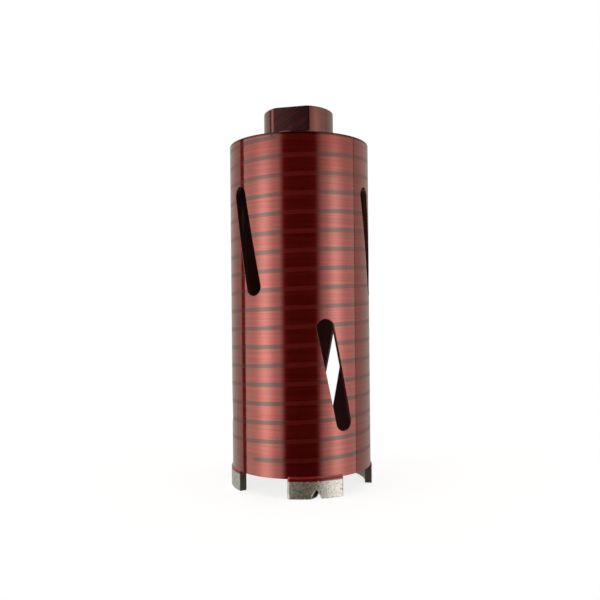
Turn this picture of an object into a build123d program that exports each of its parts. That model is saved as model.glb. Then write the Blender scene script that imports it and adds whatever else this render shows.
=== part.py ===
from build123d import *
import math
import os

# Dry diamond core bit, 65 mm across its cutting segments, about 150 mm deep.
# Millimetres. The Z axis is the axis of rotation, +Z points to the machine.
# Z = 0 is the plane of the cutting faces, so the bit stands on its segments.
# Azimuths are in degrees, counter-clockwise seen from above, from the -Y axis.

# Barrel tube
barrel_radius = 31.9
wall = 2.0
rim_height = 8.4          # lower edge of the tube above the cutting faces
barrel_length = 146.6
top_round = 0.6           # ground-over weld seam at the top edge

# Dust slots: two rows of three, slanted, with full-round ends
slot_width = 7.8
slot_length = 49.0        # over the round ends, along the slant
slot_tilt = 12.0          # lean from the vertical
slots_per_row = 3
lower_row_height = 51.7
lower_row_azimuth = 27.35
upper_row_height = 109.95
upper_row_azimuth = -47.0

# End plate, flush with the top edge of the tube
plate_thickness = 6.0

# Hub: turned boss with a G1/2 female thread and two spanner flats
hub_radius = 16.0
hub_height = 15.5         # above the end plate
spigot_radius = 13.5      # passes through the end plate
thread_radius = 10.48     # major radius of G1/2; the crests are a finish
mouth_chamfer = 1.2
hub_chamfer = 0.5
flat_width = 27.4         # across the two flats
flat_azimuth = -14.4
collar_height = 4.4       # full round below the flats
flat_corner = 0.6         # left by the milling cutter
weld_leg = 2.5            # fillet weld round the foot of the hub

# Diamond segments
segment_count = 4
segment_azimuth = 10.9    # middle of the first segment
segment_span = 44.0       # degrees of arc
outer_clearance = 0.6     # stands proud of the tube outside
inner_clearance = 0.7     # and inside
shoulder_drop = 0.3       # weld shoulder, from just under the edge of the tube
shoulder_rise = 1.2       # up to where it runs out on the tube wall
edge_round = 0.4          # run-in edges of the sintered block

# V groove across the cutting face of every other segment
groove_leading = 2.2      # from the apex to the left lip, along the outer face
groove_trailing = 1.9     # from the apex to the right lip, which is steeper
groove_depth = 3.8
groove_skew = 43.0        # from the radius, in plan
groove_offset = 0.1       # apex from the middle of the segment, at the outer face

# Worked out from the above
bore_radius = barrel_radius - wall
barrel_top = rim_height + barrel_length
hub_top = barrel_top + hub_height
plate_bottom = barrel_top - plate_thickness
reach = 2 * barrel_radius  # longer than any wall that a cutter passes


def radial(azimuth):
    """Unit vector from the axis outwards at an azimuth."""
    angle = math.radians(azimuth)
    return Vector(math.sin(angle), -math.cos(angle), 0)


def dust_slot(azimuth, height):
    """Stadium-shaped cutter through one side of the wall.

    The sketch lies on the axis, with its long side up, and leans to the left
    as seen from outside.
    """
    face_on = Plane(
        origin=(0, 0, height),
        x_dir=(0, 0, 1),
        z_dir=radial(azimuth),
    )
    outline = face_on * Rot(0, 0, slot_tilt) * SlotOverall(slot_length, slot_width)
    return extrude(outline, amount=reach)


def barrel():
    """Tube with a rounded top edge and two staggered rows of slots."""
    outside = Cylinder(barrel_radius, barrel_length, align=(Align.CENTER, Align.CENTER, Align.MIN))
    outside = fillet(outside.edges().group_by(Axis.Z)[-1], top_round)
    inside = Cylinder(bore_radius, barrel_length, align=(Align.CENTER, Align.CENTER, Align.MIN))
    tube = Pos(0, 0, rim_height) * (outside - inside)
    pitch = 360 / slots_per_row
    for index in range(slots_per_row):
        tube -= dust_slot(lower_row_azimuth + index * pitch, lower_row_height)
        tube -= dust_slot(upper_row_azimuth + index * pitch, upper_row_height)
    return tube


def end_plate():
    """Disc inside the top of the tube, with a hole for the spigot of the hub."""
    disc = Cylinder(bore_radius, plate_thickness)
    hole = Cylinder(spigot_radius, plate_thickness)
    return Pos(0, 0, plate_bottom + plate_thickness / 2) * (disc - hole)


def hub_blank():
    """Turned form: spigot, weld fillet, boss and threaded bore, as one revolve."""
    profile = Polyline(
        (thread_radius, plate_bottom),
        (spigot_radius, plate_bottom),
        (spigot_radius, barrel_top),
        (hub_radius + weld_leg, barrel_top),
        (hub_radius, barrel_top + weld_leg),
        (hub_radius, hub_top - hub_chamfer),
        (hub_radius - hub_chamfer, hub_top),
        (thread_radius + mouth_chamfer, hub_top),
        (thread_radius, hub_top - mouth_chamfer),
        close=True,
    )
    return revolve(make_face(Plane.XZ * profile), Axis.Z)


def flat_cutter(azimuth):
    """Block that mills one spanner flat, with a rounded lower inner edge."""
    block = Box(
        hub_radius,
        2 * hub_radius,
        hub_height,
        align=(Align.MIN, Align.CENTER, Align.MIN),
    )
    inner_edges = block.edges().filter_by(Axis.Y).sort_by(Axis.X)[:2]
    block = fillet(inner_edges.sort_by(Axis.Z)[0], flat_corner)
    seat = Plane(
        origin=radial(azimuth) * (flat_width / 2) + Vector(0, 0, barrel_top + collar_height),
        x_dir=radial(azimuth),
        z_dir=(0, 0, 1),
    )
    return seat * block


def hub():
    """Turned blank with two opposite spanner flats."""
    return hub_blank() - flat_cutter(flat_azimuth) - flat_cutter(flat_azimuth + 180)


def segment_blank():
    """Section of the sintered block and its weld shoulder, swept along the rim."""
    outer = barrel_radius + outer_clearance
    inner = bore_radius - inner_clearance
    section = Polyline(
        (inner, 0),
        (outer, 0),
        (outer, rim_height + shoulder_drop),
        (barrel_radius, rim_height + shoulder_rise),
        (barrel_radius, rim_height),
        (bore_radius, rim_height),
        (inner, rim_height - inner_clearance),
        close=True,
    )
    half = Rot(0, 0, -90 - segment_span / 2)
    return half * revolve(make_face(Plane.XZ * section), Axis.Z, segment_span)


def groove_cutter():
    """Skewed prism that cuts the lopsided V groove of a segment at azimuth 0."""
    up = Vector(0, 0, 1)
    along = Vector(0, 1, 0).rotate(Axis.Z, -groove_skew)
    crossing = radial(groove_offset) * (barrel_radius + outer_clearance)
    run_in = groove_leading + groove_trailing
    across = Plane(origin=crossing - along * run_in, x_dir=up.cross(along), z_dir=along)
    narrowing = math.cos(math.radians(groove_skew))
    outline = Polyline(
        (2 * groove_leading * narrowing, -groove_depth),
        (0, groove_depth),
        (-2 * groove_trailing * narrowing, -groove_depth),
        close=True,
    )
    return extrude(across * make_face(outline), amount=4 * run_in)


def segment(index):
    """One diamond segment in its place on the rim; every other one has a groove."""
    block = segment_blank()
    ends = block.edges().filter_by(Axis.Z).filter_by(lambda edge: edge.length > rim_height / 2)
    block = fillet(ends, edge_round)
    if index % 2 == 0:
        block -= groove_cutter()
    azimuth = segment_azimuth + index * 360 / segment_count
    return Rot(0, 0, azimuth) * block


os.makedirs("parts", exist_ok=True)
export_step(barrel(), "parts/barrel.step")
export_step(end_plate(), "parts/end_plate.step")
export_step(hub(), "parts/hub.step")
for number in range(segment_count):
    export_step(segment(number), f"parts/segment_{number + 1}.step")
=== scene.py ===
"""Looks of a dry diamond core bit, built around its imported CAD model.

The tube, the hub and the diamond segments are finished surfaces worked out from their
formulas, with broken edges, a cut thread and worn grooves. The stage is a plain pale
table inside a ring of soft boxes and flags.

Heights are along Z. Azimuths run counter-clockwise seen from above, from the -Y axis.
"""
import math

import bpy
import numpy as np
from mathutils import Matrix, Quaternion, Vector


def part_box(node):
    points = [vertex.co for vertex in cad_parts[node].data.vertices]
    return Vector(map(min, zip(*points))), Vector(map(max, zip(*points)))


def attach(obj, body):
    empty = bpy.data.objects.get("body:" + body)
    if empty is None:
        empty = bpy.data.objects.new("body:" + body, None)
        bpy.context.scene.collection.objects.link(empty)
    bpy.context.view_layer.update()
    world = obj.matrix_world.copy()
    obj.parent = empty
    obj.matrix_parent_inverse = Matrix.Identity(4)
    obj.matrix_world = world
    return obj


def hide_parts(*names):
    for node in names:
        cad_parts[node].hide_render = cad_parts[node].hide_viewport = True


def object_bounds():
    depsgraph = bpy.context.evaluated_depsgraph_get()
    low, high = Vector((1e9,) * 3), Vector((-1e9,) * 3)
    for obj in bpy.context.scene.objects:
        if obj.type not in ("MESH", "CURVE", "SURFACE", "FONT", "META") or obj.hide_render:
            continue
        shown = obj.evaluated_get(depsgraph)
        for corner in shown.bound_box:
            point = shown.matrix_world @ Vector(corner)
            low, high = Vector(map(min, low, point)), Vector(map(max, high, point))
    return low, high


bl_info = {
    "name": "Core Bit Finish",
    "version": (1, 0, 0),
    "blender": (4, 5, 0),
    "location": "3D View > Sidebar > Core Bit",
    "description": "Dresses a diamond core bit and sets up its stage",
    "category": "Object",
}

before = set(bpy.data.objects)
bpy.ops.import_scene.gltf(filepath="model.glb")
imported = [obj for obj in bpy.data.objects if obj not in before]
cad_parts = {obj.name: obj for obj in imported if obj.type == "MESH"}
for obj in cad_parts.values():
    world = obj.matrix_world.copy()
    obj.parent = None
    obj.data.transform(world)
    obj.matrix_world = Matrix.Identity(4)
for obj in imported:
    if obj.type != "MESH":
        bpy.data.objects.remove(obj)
CAD_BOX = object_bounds()

MM = 0.001
TURN = 2 * math.pi
BODY = "root"

(_, _, RIM_HEIGHT), (TUBE_RADIUS, _, TUBE_TOP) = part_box("barrel")
(_, _, PLATE_FOOT), (BORE_RADIUS, _, PLATE_TOP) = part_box("end_plate")
_, (_, _, HUB_TOP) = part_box("hub")
CLEARANCE = 0.003 * MM          # keeps the widest points inside the CAD box
CUTTING_RADIUS = CAD_BOX[1][0] - CLEARANCE


# ---------------------------------------------------------------- sizes and colours

def length(name, description, value):
    """A length property in metres, shown in the scene's own unit."""
    return bpy.props.FloatProperty(
        name=name, description=description, default=value,
        unit="LENGTH", subtype="DISTANCE", precision=5,
    )


def angle(name, description, degrees):
    """An angle property, written here in degrees."""
    return bpy.props.FloatProperty(
        name=name, description=description, default=math.radians(degrees),
        unit="ROTATION", subtype="ANGLE",
    )


def number(name, description, value):
    """A plain number property."""
    return bpy.props.FloatProperty(name=name, description=description, default=value)


def colour(name, description, value):
    """A linear RGB colour property."""
    return bpy.props.FloatVectorProperty(
        name=name, description=description, default=value,
        size=3, min=0.0, max=1.0, subtype="COLOR",
    )


class CoreBitTube(bpy.types.PropertyGroup):
    """Sizes of the slotted tube and of the band wound round it."""
    slot_width: length("Slot width", "Width of a dust slot", 7.8 * MM)
    slot_length: length("Slot length", "Length of a dust slot over its round ends", 49.0 * MM)
    slot_tilt: angle("Slot tilt", "Lean of a slot from the vertical", 12.0)
    lower_height: length("Lower row height", "Middle of the lower slots", 51.7 * MM)
    lower_azimuth: angle("Lower row azimuth", "Azimuth of the first lower slot", 27.35)
    upper_height: length("Upper row height", "Middle of the upper slots", 109.95 * MM)
    upper_azimuth: angle("Upper row azimuth", "Azimuth of the first upper slot", -47.0)
    top_round: length("Top round", "Rounding of the top outer edge", 0.6 * MM)
    edge_break: length("Edge break", "Bevel left on the slots and the lower edge", 0.16 * MM)
    band_pitch: length("Band pitch", "Rise of the wound band in one turn", 8.048 * MM)
    band_width: length("Band width", "Width of the wound band", 1.8 * MM)
    band_phase: length(
        "Band phase", "Height of the band's middle at azimuth zero, less whole turns", 0.225 * MM
    )
    band_start: number("Band start", "Turns from azimuth zero to the band's lower end", 1.875)
    band_end: number("Band end", "Turns from azimuth zero to the band's upper end", 18.978)


class CoreBitHub(bpy.types.PropertyGroup):
    """Sizes of the hub, its thread and the weld round its foot."""
    radius: length("Hub radius", "Radius of the turned boss", 16.0 * MM)
    spigot_radius: length("Spigot radius", "Radius of the part inside the end plate", 13.5 * MM)
    flat_width: length("Flat width", "Distance across the two spanner flats", 27.4 * MM)
    flat_azimuth: angle("Flat azimuth", "Azimuth of the first flat", -14.4)
    collar_height: length("Collar height", "Full round below the flats", 4.4 * MM)
    flat_corner: length("Flat corner", "Radius that the cutter leaves below a flat", 0.6 * MM)
    top_chamfer: length("Top chamfer", "Chamfer of the outer top edge", 0.5 * MM)
    mouth_chamfer: length("Mouth chamfer", "Chamfer of the thread's mouth", 1.2 * MM)
    edge_break: length("Edge break", "Rounding of the milled edges", 0.12 * MM)
    major_radius: length("Major radius", "Radius at the thread's roots", 10.48 * MM)
    minor_radius: length("Minor radius", "Radius at the thread's crests", 9.32 * MM)
    thread_pitch: length("Thread pitch", "Pitch of the female thread", 1.814 * MM)
    weld_leg: length("Weld leg", "Leg of the fillet weld at the foot", 2.5 * MM)
    weld_steps: bpy.props.IntProperty(
        name="Weld ripples", description="Ripples in one turn of the fillet weld", default=70
    )


class CoreBitSegment(bpy.types.PropertyGroup):
    """Sizes of the sintered diamond segments."""
    count: bpy.props.IntProperty(
        name="Count", description="Number of segments round the rim", default=4
    )
    azimuth: angle("Azimuth", "Middle of the first segment", 10.9)
    span: angle("Span", "Arc of one segment", 44.0)
    inner_clearance: length("Inner clearance", "How far a segment stands inside the tube", 0.7 * MM)
    shoulder_drop: length(
        "Shoulder drop", "Start of the weld shoulder above the tube's edge", -0.12 * MM
    )
    shoulder_rise: length("Shoulder rise", "End of the weld shoulder above the tube's edge", 1.1 * MM)
    edge_round: length("Edge round", "Wear on the edges of the block", 0.4 * MM)
    end_round: length(
        "End round", "Length over which the faces fall off towards the worn end", 1.1 * MM
    )
    tail_round: length("Tail round", "The same at the sharper end", 0.3 * MM)
    tail_fall: length("Tail fall", "How far the faces fall at the sharper end", 0.14 * MM)
    groove_leading: length(
        "Groove leading side", "From the apex to the left lip, on the outer face", 2.2 * MM
    )
    groove_trailing: length("Groove trailing side", "From the apex to the steeper right lip", 1.9 * MM)
    groove_depth: length("Groove depth", "Depth of the groove", 3.8 * MM)
    groove_skew: angle("Groove skew", "Groove's angle from the radius, in plan", 43.0)
    lip_height: length("Lip height", "Height of the worn bevel on the groove's left lip", 2.0 * MM)
    lip_depth: length("Lip depth", "How far that bevel falls back from the outer face", 0.85 * MM)
    groove_offset: angle("Groove offset", "Groove's place from the segment's middle", 0.1)
    lacquer_edge: length("Lacquer edge", "Height down to which a segment is lacquered", 7.45 * MM)


class CoreBitFinish(bpy.types.PropertyGroup):
    """Colours of the finishes."""
    lacquer: colour("Lacquer", "Translucent red over bright steel", (0.252, 0.0082, 0.0076))
    # Also used, made lighter, for the painted highlight on the crest of a segment's shoulder.
    lacquer_thin: colour(
        "Thin lacquer", "The same lacquer in pale brush streaks", (0.340, 0.0215, 0.0172)
    )
    band: colour("Band", "Matt textured band under the clear coat", (0.150, 0.0080, 0.0075))
    hub: colour("Hub lacquer", "Lacquer over duller turned steel", (0.160, 0.0200, 0.0160))
    flat: colour("Flat lacquer", "Lacquer over the milled flats", (0.060, 0.0090, 0.0135))
    inside: colour("Inside", "Oxidised steel inside the tube", (0.068, 0.022, 0.021))
    bare_steel: colour("Bare steel", "Cut metal of the thread", (0.300, 0.290, 0.270))
    sinter: colour("Sintered metal", "Ground face of a segment", (0.810, 0.845, 0.895))
    # Laid on more strongly over each segment's leading half, which is painted shade.
    stain: colour("Sintered metal, stained", "Brown bloom on the ground face", (0.740, 0.625, 0.500))
    sinter_dark: colour(
        "Sintered metal, dark", "Unground ends and pits of a segment", (0.085, 0.082, 0.066)
    )
    coat_ior: number("Coat IOR", "Index of the clear coat", 1.8)


class CoreBitStage(bpy.types.PropertyGroup):
    """Camera, table and light."""
    distance: length("Camera distance", "From the tube's axis to the camera", 324.6 * MM)
    height: length("Camera height", "Height of the level camera", 81.2 * MM)
    roll: angle("Camera roll", "Clockwise roll of the camera", 0.55)
    lens: number("Lens", "Focal length in mm on a 36 mm sensor", 41.80)
    shift_x: number("Shift X", "Sideways shift of the frame", -0.00048)
    shift_y: number("Shift Y", "Upward shift of the frame", 0.0105)
    table_radius: length("Table radius", "Radius of the pale round table", 150.0 * MM)
    wall_radius: length("Wall radius", "Distance of the soft boxes and flags", 1.2)
    box_end: angle("Box end", "Azimuth where the right soft box ends", 99.0)
    slit_width: angle("Slit width", "Dark slit between the right soft box and the backdrop", 1.5)
    seam_start: angle("Seam start", "Where the left box stops and a black seam starts", 101.0)
    seam_width: angle("Seam width", "Width of the black seam", 9.5)
    hot_azimuth: angle("Hot azimuth", "Brightest part of a side soft box", 59.0)
    hot_width: angle("Hot width", "Spread of the brightest part", 10.5)
    left_glow: number("Left glow", "Even strength of the left box", 1.14)
    left_peak: number("Left peak", "Extra strength at its middle", 1.54)
    right_glow: number("Right glow", "Even strength of the right box", 1.03)
    right_peak: number("Right peak", "Extra strength at its middle", 1.38)
    backdrop_glow: number("Backdrop glow", "Strength of the backdrop", 0.47)
    backdrop_fall: number("Backdrop fall", "Strength at its dim right end", 0.36)
    ceiling_glow: number("Ceiling glow", "Strength of the dim ceiling", 0.08)


# ---------------------------------------------------------------- surfaces

UPWARDS = np.array([0.0, 0.0, 1.0])
ROUND_STEPS = 7                 # points on the quarter rounds of the tube and the hub


def polar(radius, azimuth, height):
    """Points of a surface of turning: x = r sin a, y = -r cos a, z = h."""
    radius, azimuth, height = np.broadcast_arrays(radius, azimuth, height)
    return np.stack([radius * np.sin(azimuth), -radius * np.cos(azimuth), height], axis=-1)


def tangent(azimuth):
    """Direction of growing azimuth."""
    return np.array([math.cos(azimuth), math.sin(azimuth), 0.0])


def grid_faces(rows, columns, closed=False, flip=False):
    """Quads of a grid of points stored row by row; closed joins the last column to the first."""
    column = np.arange(columns if closed else columns - 1)
    following = (column + 1) % columns
    row = np.arange(rows - 1)[:, None]
    here, below = row * columns, (row + 1) * columns
    corners = [here + column, below + column, below + following, here + following]
    faces = np.stack(corners, axis=-1).reshape(-1, 4)
    return faces[:, ::-1] if flip else faces


def unit(vectors):
    """Vectors scaled to length one."""
    size = np.linalg.norm(vectors, axis=-1, keepdims=True)
    return vectors / np.maximum(size, 1e-12)


def held(share):
    """Shares held between 0 and 1."""
    return np.clip(share, 0, 1)


def smooth(share):
    """Shares from 0 to 1 eased at both ends: three squares less two cubes."""
    return share * share * (3 - 2 * share)


WELD_CELL = 0.0005 * MM         # points that round to one cell of this size are one point
CELL_SHIFT = 0.137              # keeps round numbers away from the edges of the cells


class Shell:
    """Grids of points with their normals and quads, gathered into one closed mesh."""

    def __init__(self):
        self.points = []
        self.normals = []
        self.marks = []
        self.faces = []
        self.total = 0

    def add(self, points, normals, closed=False, flip=False, mark=0.0):
        """Adds one grid of points, rows by columns, with a normal and a mark for each point."""
        rows, columns = points.shape[:2]
        normals = np.broadcast_to(normals, points.shape)
        self.points.append(points.reshape(-1, 3))
        self.normals.append(normals.reshape(-1, 3))
        self.marks.append(np.broadcast_to(mark, (rows, columns)).ravel())
        self.faces.append(grid_faces(rows, columns, closed, flip) + self.total)
        self.total += rows * columns

    def make(self, name, materials):
        """Welds points that share a place, drops collapsed quads and makes the object."""
        points = np.concatenate(self.points)
        normals = unit(np.concatenate(self.normals))
        faces = np.concatenate(self.faces)
        keys = np.round(points / WELD_CELL + CELL_SHIFT).astype(np.int64)
        _, first, place = np.unique(keys, axis=0, return_index=True, return_inverse=True)
        faces = place.reshape(-1)[faces]
        marks = np.concatenate(self.marks)[first]
        return make_mesh(name, points[first], normals[first], marks, faces, materials)


def make_mesh(name, points, normals, marks, faces, materials):
    """Makes a smooth mesh object at the origin; quads with repeated corners become triangles.

    The marks become the attribute "rough_cast".
    """
    following = np.roll(faces, -1, axis=1)
    kept = faces != following
    sizes = kept.sum(axis=1)
    sound = sizes >= 3
    kept &= sound[:, None]
    sizes = sizes[sound]
    corners = faces[kept]
    mesh = bpy.data.meshes.new(name)
    mesh.vertices.add(len(points))
    mesh.vertices.foreach_set("co", np.ascontiguousarray(points, dtype=np.float32).ravel())
    mesh.loops.add(len(corners))
    mesh.loops.foreach_set("vertex_index", corners.astype(np.int32))
    mesh.polygons.add(len(sizes))
    starts = np.concatenate([[0], np.cumsum(sizes)[:-1]]).astype(np.int32)
    mesh.polygons.foreach_set("loop_start", starts)
    mesh.polygons.foreach_set("loop_total", sizes.astype(np.int32))
    mesh.update(calc_edges=True)
    mesh.validate()
    mesh.shade_smooth()
    layer = mesh.attributes.new("rough_cast", "FLOAT", "POINT")
    layer.data.foreach_set("value", marks.astype(np.float32))
    mesh.normals_split_custom_set_from_vertices(normals.astype(np.float32))
    for material in materials:
        mesh.materials.append(material)
    piece = bpy.data.objects.new(name, mesh)
    bpy.context.scene.collection.objects.link(piece)
    return piece


def surface_normals(points, closed=False):
    """Normals of a grid from its two tangents, by central differences."""
    down = np.gradient(points, axis=0)
    if closed:
        across = (np.roll(points, -1, axis=1) - np.roll(points, 1, axis=1)) / 2
    else:
        across = np.gradient(points, axis=1)
    return unit(np.cross(down, across))


def ripple(azimuth, seed, waves, size):
    """A closed wavy line: a sum of sine waves round the turn with seeded phases and heights."""
    chance = np.random.default_rng(seed)
    phases = chance.uniform(0, TURN, len(waves))
    heights = chance.uniform(0.5, 1.0, len(waves))
    total = sum(h * np.sin(w * azimuth + p) for w, p, h in zip(waves, phases, heights))
    return size * total / len(waves)


# ---------------------------------------------------------------- tube

TUBE_SECTORS = 3
SECTOR_START = math.radians(-10.0)
ACROSS_STEPS = 48               # points along a slot's half circle, and along a stretch's top
UPWARD_STEPS = 30               # points along their straight sides
OUTWARD_STEPS = 28              # rings from the slot to the frame of its stretch
CROWDING = 1.5                  # power that crowds those rings towards the slot


def side_steps(start, stop, count):
    """Evenly spaced steps from start up to, but not including, stop."""
    return np.linspace(start, stop, count, endpoint=False)


def slot_directions():
    """Outward directions (right, up) round an upright slot, counter-clockwise from the right."""
    turn = side_steps(0, math.pi, ACROSS_STEPS)
    side = np.ones(UPWARD_STEPS)
    right = np.concatenate([np.cos(turn), -side, -np.cos(turn), side])
    up = np.concatenate([np.sin(turn), 0 * side, -np.sin(turn), 0 * side])
    return right, up


def leaning(tube, right, up):
    """Places of an upright slot's plane, leaning to the left by the tilt."""
    cosine, sine = math.cos(tube.slot_tilt), math.sin(tube.slot_tilt)
    return right * cosine - up * sine, right * sine + up * cosine


def slot_outline(tube, offset):
    """Outline of a slot, offset outwards: two half circles joined by straight sides.

    Counter-clockwise seen from outside, as (right, up) from the slot's middle.
    """
    reach = (tube.slot_length - tube.slot_width) / 2
    radius = tube.slot_width / 2 + offset
    right, up = slot_directions()
    ends = np.full(ACROSS_STEPS, reach)
    sides = side_steps(reach, -reach, UPWARD_STEPS)
    centre = np.concatenate([ends, sides, -ends, -sides])
    return leaning(tube, radius * right, centre + radius * up)


def frame_outline(start, stop, low, high):
    """Outline of a stretch of wall, counter-clockwise from its top right corner."""
    azimuth = np.concatenate([
        side_steps(stop, start, ACROSS_STEPS), np.full(UPWARD_STEPS, start),
        side_steps(start, stop, ACROSS_STEPS), np.full(UPWARD_STEPS, stop),
    ])
    height = np.concatenate([
        np.full(ACROSS_STEPS, high), side_steps(high, low, UPWARD_STEPS),
        np.full(ACROSS_STEPS, low), side_steps(low, high, UPWARD_STEPS),
    ])
    return azimuth, height


def slotted_stretch(shell, tube, azimuth, middle, start, low, high):
    """One third of a turn of wall with one slot in it.

    Each wall is a blend from the slot's outline to the frame of the stretch; the
    cheeks of the slot join the two walls, with a small bevel at each.
    """
    stop = start + TURN / TUBE_SECTORS
    frame_azimuth, frame_height = frame_outline(start, stop, low, high)
    away = (np.arange(OUTWARD_STEPS + 1) / OUTWARD_STEPS)[:, None] ** CROWDING
    bevel = tube.edge_break

    def on_wall(radius, offset):
        right, up = slot_outline(tube, offset)
        return azimuth + np.arcsin(right / radius), middle + up

    for radius, outward in ((TUBE_RADIUS, 1.0), (BORE_RADIUS, -1.0)):
        slot_azimuth, slot_height = on_wall(radius, bevel)
        turn = slot_azimuth * (1 - away) + frame_azimuth * away
        height = slot_height * (1 - away) + frame_height * away
        points = polar(radius, turn, height)
        shell.add(points, outward * polar(1.0, turn, 0.0), closed=True, flip=outward < 0)

    right, up = leaning(tube, *slot_directions())
    cheek_normal = -right[:, None] * tangent(azimuth) - up[:, None] * UPWARDS
    rows = []
    normals = []
    for radius, offset in (
        (BORE_RADIUS, bevel), (BORE_RADIUS + bevel, 0.0),
        (TUBE_RADIUS - bevel, 0.0), (TUBE_RADIUS, bevel),
    ):
        turn, height = on_wall(radius, offset)
        rows.append(polar(radius, turn, height))
        facing = polar(1.0, turn, 0.0)
        edge_normal = facing if radius == TUBE_RADIUS else -facing
        normals.append(edge_normal if offset else cheek_normal)
    shell.add(np.stack(rows), np.stack(normals), closed=True)


def rim_profile(shell, turn, profile):
    """A ring turned from a profile of (radius, height, normal out, normal up)."""
    radius, height, out, up = (np.array(column)[:, None] for column in zip(*profile))
    shell.add(polar(radius, turn, height), polar(out, turn, up), closed=True)


def round_over(radius, height, size):
    """Profile points of a quarter round about a centre, from straight up to straight out."""
    turn = np.linspace(0, math.pi / 2, ROUND_STEPS)[::-1]
    out, up = np.cos(turn), np.sin(turn)
    return zip(radius + size * out, height + size * up, out, up)


def tube_surface(tube, materials):
    """Closed surface of the slotted tube, with a rounded top edge and broken edges."""
    shell = Shell()
    bevel = tube.edge_break
    low = RIM_HEIGHT + bevel
    high = TUBE_TOP - tube.top_round
    middle = (low + high) / 2
    sector = TURN / TUBE_SECTORS
    for index in range(TUBE_SECTORS):
        start = SECTOR_START + index * sector
        lower = tube.lower_azimuth + sector * index
        upper = tube.upper_azimuth + sector * (index + 1)
        slotted_stretch(shell, tube, lower, tube.lower_height, start, low, middle)
        slotted_stretch(shell, tube, upper, tube.upper_height, start, middle, high)
    turn = SECTOR_START + side_steps(0, TURN, TUBE_SECTORS * ACROSS_STEPS)
    rim_profile(shell, turn, [
        (BORE_RADIUS, high, -1.0, 0.0), (BORE_RADIUS, TUBE_TOP, 0.0, 1.0),
        *round_over(TUBE_RADIUS - tube.top_round, high, tube.top_round),
    ])
    rim_profile(shell, turn, [
        (TUBE_RADIUS, low, 1.0, 0.0), (TUBE_RADIUS - bevel, RIM_HEIGHT, 0.0, -1.0),
        (BORE_RADIUS + bevel, RIM_HEIGHT, 0.0, -1.0), (BORE_RADIUS, low, -1.0, 0.0),
    ])
    return shell.make("slotted_tube", materials)


# ---------------------------------------------------------------- end plate

CORNER_STEPS = 6                # points on the arc of a rounded corner
PLATE_COLUMNS = 240             # points round the plate
FEED_DEPTH = 0.012 * MM         # half the height of the rings that the lathe tool leaves
FEED = 0.9 * MM                 # their spacing


def rounded_outline(corners, radii, step):
    """Closed outline through corners of (radius, height), each corner rounded.

    A corner's arc starts and stops at its radius over the tangent of half its angle
    along the two sides; the sides are divided into steps.
    """
    corners = np.asarray(corners, dtype=float)
    inward = unit(np.roll(corners, 1, axis=0) - corners)
    onward = unit(np.roll(corners, -1, axis=0) - corners)
    half = np.arccos(np.clip(np.sum(inward * onward, axis=1), -1, 1)) / 2
    cut = (np.asarray(radii) / np.tan(half))[:, None]
    start = corners + inward * cut
    stop = corners + onward * cut
    centre = corners + unit(inward + onward) * (np.asarray(radii) / np.sin(half))[:, None]
    outline = []
    for index in range(len(corners)):
        sweep = math.pi - 2 * half[index]
        share = np.linspace(0, 1, CORNER_STEPS)[:, None]
        first = np.sin((1 - share) * sweep) * (start - centre)[index]
        second = np.sin(share * sweep) * (stop - centre)[index]
        outline.append(centre[index] + (first + second) / math.sin(sweep))
        following = start[(index + 1) % len(corners)]
        count = max(2, int(np.linalg.norm(following - stop[index]) / step))
        share = np.linspace(0, 1, count, endpoint=False)[1:, None]
        outline.append(stop[index] * (1 - share) + following * share)
    return np.concatenate(outline)


def turned_ring(shell, outline, turn):
    """A ring turned from a closed outline of (radius, height)."""
    around = np.roll(outline, -1, axis=0) - np.roll(outline, 1, axis=0)
    outline = np.concatenate([outline, outline[:1]])
    around = np.concatenate([around, around[:1]])
    points = polar(outline[:, :1], turn, outline[:, 1:])
    shell.add(points, polar(-around[:, 1:], turn, around[:, :1]), closed=True)


def plate_surface(hub, materials):
    """Closed disc with a hole, whose upper face carries faint turned rings.

    The height of the upper face is a sine of the radius over the feed of the lathe tool.
    """
    shell = Shell()
    inner, outer = hub.spigot_radius, BORE_RADIUS
    corners = [(inner, PLATE_FOOT), (inner, PLATE_TOP), (outer, PLATE_TOP), (outer, PLATE_FOOT)]
    outline = rounded_outline(corners, [0.1 * MM, 0.1 * MM, 0.35 * MM, 0.3 * MM], 0.15 * MM)
    upper = outline[:, 1] > PLATE_TOP - 0.01 * MM
    outline[:, 1] -= upper * FEED_DEPTH * (1 + np.sin(outline[:, 0] * TURN / FEED))
    turned_ring(shell, outline, side_steps(0, TURN, PLATE_COLUMNS))
    return shell.make("welded_plate", materials)


# ---------------------------------------------------------------- hub

# The turned top edge of the hub, from inside: drop, and radius past the chamfer's start.
TOP_EDGE_ROWS = (
    (0.0, -0.35 * MM), (0.0, -0.06 * MM), (0.06 * MM, 0.02 * MM), (0.14 * MM, 0.14 * MM),
    (0.42 * MM, 0.40 * MM), (0.5 * MM, 0.465 * MM), (0.6 * MM, 0.495 * MM),
)
DIAGONAL = 0.7071               # sine and cosine of half a right angle
LEG_SEED, SCALE_SEED = 11, 5    # seeds of the weld's uneven leg and of its uneven ripples
WELD_ROWS = 15                  # rows across the weld's face
RIPPLE_STEPS = 10               # columns in one of its ripples
THREAD_ROWS = 14                # rows of the thread in one pitch
THREAD_COLUMNS = 161            # points of the thread in one turn, both ends counted


def flat_radius(hub, azimuth):
    """Radius of the spanner flats: half the width across, over the cosine from a flat's middle."""
    cosine = np.abs(np.cos(azimuth - hub.flat_azimuth))
    return np.minimum(hub.flat_width / 2 / np.maximum(cosine, 0.05), 2 * hub.radius)


def lesser(first, second, size):
    """The lesser of two lengths, its corner rounded.

    It is half of their sum less the root of their difference squared and the size squared.
    """
    return (first + second - np.sqrt((first - second) ** 2 + size ** 2)) / 2


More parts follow.
